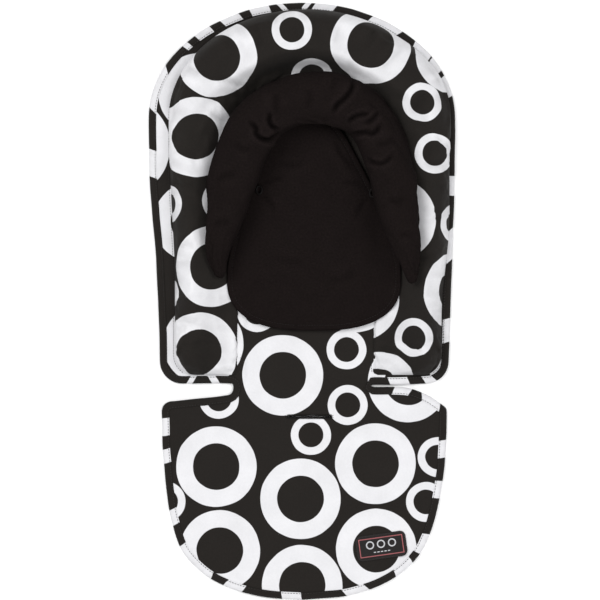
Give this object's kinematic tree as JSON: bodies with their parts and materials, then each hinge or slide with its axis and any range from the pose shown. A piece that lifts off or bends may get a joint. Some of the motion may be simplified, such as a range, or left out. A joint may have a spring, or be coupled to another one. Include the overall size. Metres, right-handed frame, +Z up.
{
  "type": "infant seat liner with head support",
  "caption": "Flat padded liner for an infant's seat, with a horseshoe side bolster, a fold-up seat panel, strap slots and a detachable head pad with its own horseshoe pillow.",
  "frame": {"origin": "on the ground, under the middle of the liner's length and width", "axes": "the liner lies flat and face up: +X to the right seen from above, +Y towards the head end, +Z up out of the padded face"},
  "size_m": [0.389, 0.758, 0.0703],
  "materials": {
    "printed_cotton": "black woven cotton with a print of white rings",
    "plain_cotton": "plain black woven cotton",
    "brushed_cotton": "soft brushed black cotton jersey",
    "wadding": "white polyester wadding",
    "thread": "black sewing thread and cord",
    "fastener_tape": "black hook-and-loop tape",
    "woven_label": "black woven label with a thin dusty pink border"
  },
  "bodies": {
    "back": {"back_underside": "plain_cotton", "back_wadding": "wadding", "back_face": "printed_cotton", "back_binding": "printed_cotton", "shoulder_slot_stitching_left": "thread", "shoulder_slot_stitching_right": "thread", "bolster_cover": "printed_cotton", "bolster_fill": "wadding", "fastener_loop_strip": "fastener_tape"},
    "seat": {"seat_underside": "plain_cotton", "seat_wadding": "wadding", "seat_face": "printed_cotton", "seat_binding": "printed_cotton", "crotch_slot_stitching": "thread", "woven_label": "woven_label"},
    "head_pad": {"head_pad_underside": "plain_cotton", "head_pad_wadding": "wadding", "head_pad_face": "brushed_cotton", "head_pad_edging": "brushed_cotton", "fastener_hook_patch": "fastener_tape", "tie_loop_left": "thread", "tie_loop_right": "thread"},
    "head_pillow": {"pillow_top_cover": "brushed_cotton", "pillow_underside_cover": "brushed_cotton", "pillow_fill": "wadding"}
  },
  "joints": [
    {"name": "seat_fold", "type": "hinge", "parent": "back", "child": "seat", "pos_m": [0, -0.108, 0.0095], "axis": [-1, 0, 0], "range_deg": [0, 95]},
    {"name": "head_height", "type": "slide", "parent": "back", "child": "head_pad", "axis": [0, -1, 0], "range_m": [0, 0.03]},
    {"name": "pillow_lift", "type": "slide", "parent": "head_pad", "child": "head_pillow", "axis": [0, 0, 1], "range_m": [0, 0.08]}
  ]
}
